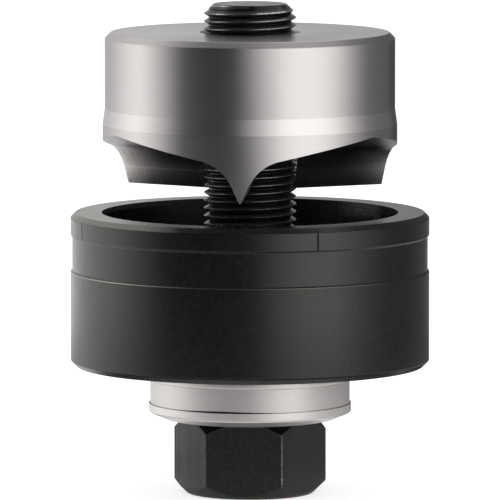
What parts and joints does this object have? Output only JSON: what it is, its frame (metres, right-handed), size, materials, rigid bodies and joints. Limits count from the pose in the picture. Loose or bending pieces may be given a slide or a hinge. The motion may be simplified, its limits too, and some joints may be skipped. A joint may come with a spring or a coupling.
{
  "type": "sheet metal punch",
  "caption": "Round sheet metal punch: a bladed punch and a cup-shaped die, drawn together by a hex-headed screw on a ball thrust bearing to cut a clean hole.",
  "frame": {"origin": "centre of the screw head's lower face, on which the part stands", "axes": "+Z along the screw from its head to its tip; -Y faces the viewer of the picture; +X is to that viewer's right"},
  "size_m": [0.0732, 0.0732, 0.1],
  "materials": {
    "ground_steel": "finely ground, bright, almost a mirror on the top face",
    "black_oxide": "turned and blackened, satin",
    "oiled_black_steel": "blackened and oiled",
    "satin_steel": "satin, turned",
    "cage_brass": "plain pressed brass",
    "ball_steel": "polished"
  },
  "bodies": {
    "die": {"die": "black_oxide"},
    "bearing_top": {"bearing_upper_washer": "satin_steel", "bearing_cover": "satin_steel"},
    "draw_screw": {"draw_screw": "oiled_black_steel", "bearing_lower_washer": "satin_steel"},
    "ball_cage": {"ball_cage": "cage_brass", "ball_01": "ball_steel", "ball_02": "ball_steel", "ball_03": "ball_steel", "ball_04": "ball_steel", "ball_05": "ball_steel", "ball_06": "ball_steel", "ball_07": "ball_steel", "ball_08": "ball_steel", "ball_09": "ball_steel", "ball_10": "ball_steel", "ball_11": "ball_steel", "ball_12": "ball_steel", "ball_13": "ball_steel", "ball_14": "ball_steel"},
    "punch": {"punch": "ground_steel"}
  },
  "joints": [
    {"name": "screw_drop", "type": "slide", "parent": "die", "child": "bearing_top", "axis": [0, 0, 1], "range_m": [-0.005, 0]},
    {"name": "screw_turn", "type": "hinge", "parent": "bearing_top", "child": "draw_screw", "pos_m": [0, 0, 0], "axis": [0, 0, 1], "range_deg": [-8640, 4320]},
    {"name": "cage_turn", "type": "hinge", "parent": "bearing_top", "child": "ball_cage", "pos_m": [0, 0, 0.0209], "axis": [0, 0, 1], "range_deg": [-4330, 2170]},
    {"name": "punch_travel", "type": "slide", "parent": "bearing_top", "child": "punch", "axis": [0, 0, 1], "range_m": [-0.0191, 0.0382]}
  ],
  "couplings": [
    {"joint": "cage_turn", "follows": "screw_turn", "ratio": 0.5},
    {"joint": "punch_travel", "follows": "screw_turn", "m_per_rad": -0.00025266}
  ]
}
